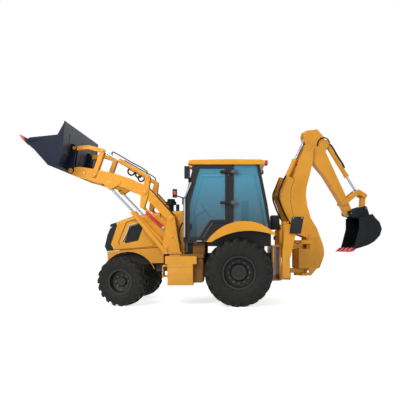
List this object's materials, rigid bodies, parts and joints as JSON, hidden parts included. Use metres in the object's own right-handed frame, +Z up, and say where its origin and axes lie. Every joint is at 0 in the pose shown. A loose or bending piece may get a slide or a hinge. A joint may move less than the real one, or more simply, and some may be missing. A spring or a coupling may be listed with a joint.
{
  "type": "backhoe loader",
  "caption": "Wheeled backhoe loader with a raised front bucket, a glazed cab, folded stabilizer legs and a folded, swung digging hoe at the rear.",
  "frame": {"origin": "on the ground, below the middle of the whole machine as it stands, from the bucket's teeth to the hoe bucket", "axes": "+X towards the rear, +Y towards the machine's right side, +Z up; the machine faces -X"},
  "size_m": [7.3134, 2.25, 3.663],
  "materials": {
    "yellow_paint": "satin",
    "black_paint": "satin",
    "dark_paint": "satin",
    "navy_paint": "satin",
    "tyre": "matte",
    "chrome": "polished",
    "glass": "clear",
    "seat_fabric": "matte"
  },
  "bodies": {
    "chassis": {"chassis_frame": "dark_paint", "side_panels": "yellow_paint", "loader_towers": "yellow_paint", "cowl": "yellow_paint", "engine_block": "dark_paint", "axles": "dark_paint", "side_boxes": "yellow_paint", "cab_base": "dark_paint", "cab_posts": "dark_paint", "cab_roof": "yellow_paint", "cab_glass": "glass", "rear_fenders": "yellow_paint", "operator_seat": "seat_fabric", "hoe_frame": "yellow_paint", "lamps_rails_and_stack": "dark_paint", "tow_eye": "dark_paint"},
    "hood": {"hood": "yellow_paint", "grille": "dark_paint"},
    "rear_wheel_left": {"rear_tyre_left": "tyre", "rear_rim_left": "black_paint"},
    "front_wheel_left": {"front_tyre_left": "tyre", "front_rim_left": "black_paint"},
    "knuckle_left": {"knuckle_left": "dark_paint"},
    "door_left": {"door_left": "dark_paint", "door_glass_left": "glass"},
    "stabilizer_leg_left": {"stabilizer_leg_left": "yellow_paint"},
    "stabilizer_barrel_left": {"stabilizer_barrel_left": "yellow_paint"},
    "stabilizer_rod_left": {"stabilizer_rod_left": "chrome"},
    "rear_wheel_right": {"rear_tyre_right": "tyre", "rear_rim_right": "black_paint"},
    "front_wheel_right": {"front_tyre_right": "tyre", "front_rim_right": "black_paint"},
    "knuckle_right": {"knuckle_right": "dark_paint"},
    "door_right": {"door_right": "dark_paint", "door_glass_right": "glass"},
    "stabilizer_leg_right": {"stabilizer_leg_right": "yellow_paint"},
    "stabilizer_barrel_right": {"stabilizer_barrel_right": "yellow_paint"},
    "stabilizer_rod_right": {"stabilizer_rod_right": "chrome"},
    "loader_arms": {"loader_arms": "yellow_paint"},
    "bellcranks": {"bellcranks": "yellow_paint"},
    "tie_rods": {"tie_rods": "yellow_paint"},
    "guide_levers": {"guide_levers": "yellow_paint"},
    "bucket_links": {"bucket_links": "yellow_paint"},
    "loader_bucket": {"loader_bucket": "navy_paint"},
    "lift_barrels": {"lift_barrels": "yellow_paint"},
    "lift_rods": {"lift_rods": "chrome"},
    "tilt_barrels": {"tilt_barrels": "yellow_paint"},
    "tilt_rods": {"tilt_rods": "chrome"},
    "swing_post": {"swing_post": "yellow_paint"},
    "boom": {"boom": "yellow_paint"},
    "boom_barrel": {"boom_barrel": "yellow_paint"},
    "boom_rod": {"boom_rod": "chrome"},
    "dipper": {"dipper": "yellow_paint"},
    "crowd_barrel": {"crowd_barrel": "yellow_paint"},
    "crowd_rod": {"crowd_rod": "chrome"},
    "curl_barrel": {"curl_barrel": "yellow_paint"},
    "curl_rod": {"curl_rod": "chrome"},
    "tipping_lever": {"tipping_lever": "yellow_paint"},
    "hoe_link": {"hoe_link": "yellow_paint"},
    "hoe_bucket": {"hoe_bucket": "dark_paint"}
  },
  "joints": [
    {"name": "rear_wheel_left", "type": "hinge", "parent": "chassis", "child": "rear_wheel_left", "pos_m": [0.533, -0.885, 0.662], "axis": [0, 1, 0], "continuous": true},
    {"name": "rear_wheel_right", "type": "hinge", "parent": "chassis", "child": "rear_wheel_right", "pos_m": [0.533, 0.885, 0.662], "axis": [0, 1, 0], "continuous": true},
    {"name": "steer_left", "type": "hinge", "parent": "chassis", "child": "knuckle_left", "pos_m": [-1.717, -0.735, 0.482], "axis": [0, 0, 1], "range_deg": [-17, 43]},
    {"name": "steer_right", "type": "hinge", "parent": "chassis", "child": "knuckle_right", "pos_m": [-1.717, 0.735, 0.482], "axis": [0, 0, 1], "range_deg": [-17.2, 43.2]},
    {"name": "front_wheel_left", "type": "hinge", "parent": "knuckle_left", "child": "front_wheel_left", "pos_m": [-1.74175, -0.84218, 0.482], "axis": [0.225, 0.9744, 0], "continuous": true},
    {"name": "front_wheel_right", "type": "hinge", "parent": "knuckle_right", "child": "front_wheel_right", "pos_m": [-1.69226, 0.84218, 0.482], "axis": [0.225, 0.9744, 0], "continuous": true},
    {"name": "hood_hinge", "type": "hinge", "parent": "chassis", "child": "hood", "pos_m": [-1.071, 0, 1.845], "axis": [0, 1, 0], "range_deg": [0, 40]},
    {"name": "door_hinge_left", "type": "hinge", "parent": "chassis", "child": "door_left", "pos_m": [0.343, -0.8, 2.3], "axis": [0, 0, 1], "range_deg": [0, 80]},
    {"name": "door_hinge_right", "type": "hinge", "parent": "chassis", "child": "door_right", "pos_m": [0.343, 0.8, 2.3], "axis": [0, 0, -1], "range_deg": [0, 80]},
    {"name": "arm_lift", "type": "hinge", "parent": "chassis", "child": "loader_arms", "pos_m": [-0.829, 0, 1.72], "axis": [0, 1, 0], "range_deg": [-62, 23]},
    {"name": "bucket_tilt", "type": "hinge", "parent": "loader_arms", "child": "loader_bucket", "pos_m": [-2.847, 0, 2.69], "axis": [0, -1, 0], "range_deg": [-6, 94]},
    {"name": "bellcrank_turn", "type": "hinge", "parent": "loader_arms", "child": "bellcranks", "pos_m": [-1.347, 0, 2.251], "axis": [0, 1, 0], "range_deg": [-27.1, 72.19]},
    {"name": "tie_rod_turn", "type": "hinge", "parent": "chassis", "child": "tie_rods", "pos_m": [-0.814, 0, 1.352], "axis": [0, 1, 0], "range_deg": [-54.51, 20.54]},
    {"name": "lift_barrel_turn", "type": "hinge", "parent": "chassis", "child": "lift_barrels", "pos_m": [-0.92, 0, 1.15], "axis": [0, 1, 0], "range_deg": [-54.41, 20.5]},
    {"name": "lift_rod_slide", "type": "slide", "parent": "lift_barrels", "child": "lift_rods", "axis": [-0.6904, 0, 0.7235], "range_m": [-0.5632, 0.2108]},
    {"name": "tilt_barrel_turn", "type": "hinge", "parent": "bellcranks", "child": "tilt_barrels", "pos_m": [-1.298, 0, 2.562], "axis": [0, 1, 0], "range_deg": [-71.14, 26.71]},
    {"name": "tilt_rod_slide", "type": "slide", "parent": "tilt_barrels", "child": "tilt_rods", "axis": [-0.8652, 0, 0.5014], "range_m": [-0.038, 0.5521]},
    {"name": "guide_lever_turn", "type": "hinge", "parent": "loader_arms", "child": "guide_levers", "pos_m": [-2.381, 0, 2.593], "axis": [0, -1, 0], "range_deg": [-5.08, 72.25]},
    {"name": "bucket_link_turn", "type": "hinge", "parent": "guide_levers", "child": "bucket_links", "pos_m": [-2.209, 0, 3.09], "axis": [0, -1, 0], "range_deg": [-48.9, 3.59]},
    {"name": "swing", "type": "hinge", "parent": "chassis", "child": "swing_post", "pos_m": [1.806, 0, 0.9], "axis": [0, 0, 1], "range_deg": [-95, 65]},
    {"name": "boom_lower", "type": "hinge", "parent": "swing_post", "child": "boom", "pos_m": [2.14987, 0.09214, 0.797], "axis": [-0.2588, 0.9659, 0], "range_deg": [0, 95]},
    {"name": "dipper_crowd", "type": "hinge", "parent": "boom", "child": "dipper", "pos_m": [2.00981, 0.05461, 3.264], "axis": [0.2588, -0.9659, 0], "range_deg": [-3, 120]},
    {"name": "hoe_bucket_curl", "type": "hinge", "parent": "dipper", "child": "hoe_bucket", "pos_m": [2.92647, 0.30023, 1.872], "axis": [-0.2588, 0.9659, 0], "range_deg": [-60, 105]},
    {"name": "boom_barrel_turn", "type": "hinge", "parent": "swing_post", "child": "boom_barrel", "pos_m": [2.0185, 0.05694, 1.16], "axis": [-0.2588, 0.9659, 0], "range_deg": [-0.5, 112.79]},
    {"name": "boom_rod_slide", "type": "slide", "parent": "boom_barrel", "child": "boom_rod", "axis": [-0.3315, -0.0888, 0.9393], "range_m": [-0.003, 0.4087]},
    {"name": "crowd_barrel_turn", "type": "hinge", "parent": "boom", "child": "crowd_barrel", "pos_m": [1.38486, -0.11285, 2.233], "axis": [-0.2588, 0.9659, 0], "range_deg": [-5.15, 0.62]},
    {"name": "crowd_rod_slide", "type": "slide", "parent": "crowd_barrel", "child": "crowd_rod", "axis": [0.4212, 0.1129, 0.8999], "range_m": [-0.4531, 0.0143]},
    {"name": "tipping_lever_turn", "type": "hinge", "parent": "dipper", "child": "tipping_lever", "pos_m": [2.79414, 0.26477, 2.082], "axis": [-0.2588, 0.9659, 0], "range_deg": [-42.78, 74.48]},
    {"name": "hoe_link_turn", "type": "hinge", "parent": "tipping_lever", "child": "hoe_link", "pos_m": [3.29353, 0.39858, 2.268], "axis": [-0.2588, 0.9659, 0], "range_deg": [-47.78, 27.51]},
    {"name": "curl_barrel_turn", "type": "hinge", "parent": "dipper", "child": "curl_barrel", "pos_m": [2.43385, 0.16823, 3.4], "axis": [-0.2588, 0.9659, 0], "range_deg": [-3.15, 5.13]},
    {"name": "curl_rod_slide", "type": "slide", "parent": "curl_barrel", "child": "curl_rod", "axis": [0.5531, 0.1482, -0.8198], "range_m": [-0.2876, 0.501]},
    {"name": "stabilizer_left", "type": "hinge", "parent": "chassis", "child": "stabilizer_leg_left", "pos_m": [1.455, -0.8, 0.6], "axis": [1, 0, 0], "range_deg": [0, 121]},
    {"name": "stabilizer_barrel_turn_left", "type": "hinge", "parent": "chassis", "child": "stabilizer_barrel_left", "pos_m": [1.455, -0.64, 1.62], "axis": [1, 0, 0], "range_deg": [-12.99, 0.5]},
    {"name": "stabilizer_rod_slide_left", "type": "slide", "parent": "stabilizer_barrel_left", "child": "stabilizer_rod_left", "axis": [0, -0.2169, -0.9762], "range_m": [-0.003, 0.4746]},
    {"name": "stabilizer_right", "type": "hinge", "parent": "chassis", "child": "stabilizer_leg_right", "pos_m": [1.455, 0.8, 0.6], "axis": [-1, 0, 0], "range_deg": [0, 121]},
    {"name": "stabilizer_barrel_turn_right", "type": "hinge", "parent": "chassis", "child": "stabilizer_barrel_right", "pos_m": [1.455, 0.64, 1.62], "axis": [-1, 0, 0], "range_deg": [-12.99, 0.5]},
    {"name": "stabilizer_rod_slide_right", "type": "slide", "parent": "stabilizer_barrel_right", "child": "stabilizer_rod_right", "axis": [0, 0.2169, -0.9762], "range_m": [-0.003, 0.4746]}
  ],
  "couplings": [
    {"joint": "steer_right", "follows": "steer_left", "ratio": 1},
    {"joint": "bellcrank_turn", "follows": "arm_lift", "ratio": -1.1563},
    {"joint": "tie_rod_turn", "follows": "arm_lift", "ratio": 0.87112},
    {"joint": "lift_barrel_turn", "follows": "arm_lift", "ratio": 0.86944},
    {"joint": "lift_rod_slide", "follows": "arm_lift", "m_per_rad": 0.51765},
    {"joint": "tilt_barrel_turn", "follows": "arm_lift", "ratio": 1.1394},
    {"joint": "tilt_rod_slide", "follows": "bucket_tilt", "m_per_rad": 0.33469},
    {"joint": "guide_lever_turn", "follows": "bucket_tilt", "ratio": 0.76334},
    {"joint": "bucket_link_turn", "follows": "bucket_tilt", "ratio": -0.51487},
    {"joint": "boom_barrel_turn", "follows": "boom_lower", "ratio": 1.182},
    {"joint": "boom_rod_slide", "follows": "boom_lower", "m_per_rad": 0.24469},
    {"joint": "crowd_barrel_turn", "follows": "dipper_crowd", "ratio": -0.038768},
    {"joint": "crowd_rod_slide", "follows": "dipper_crowd", "m_per_rad": -0.2149},
    {"joint": "tipping_lever_turn", "follows": "hoe_bucket_curl", "ratio": 0.70459},
    {"joint": "hoe_link_turn", "follows": "hoe_bucket_curl", "ratio": -0.45024},
    {"joint": "curl_barrel_turn", "follows": "hoe_bucket_curl", "ratio": 0.044084},
    {"joint": "curl_rod_slide", "follows": "hoe_bucket_curl", "m_per_rad": 0.27173},
    {"joint": "stabilizer_barrel_turn_left", "follows": "stabilizer_left", "ratio": -0.10323},
    {"joint": "stabilizer_rod_slide_left", "follows": "stabilizer_left", "m_per_rad": 0.22332},
    {"joint": "stabilizer_barrel_turn_right", "follows": "stabilizer_right", "ratio": -0.10323},
    {"joint": "stabilizer_rod_slide_right", "follows": "stabilizer_right", "m_per_rad": 0.22332}
  ]
}
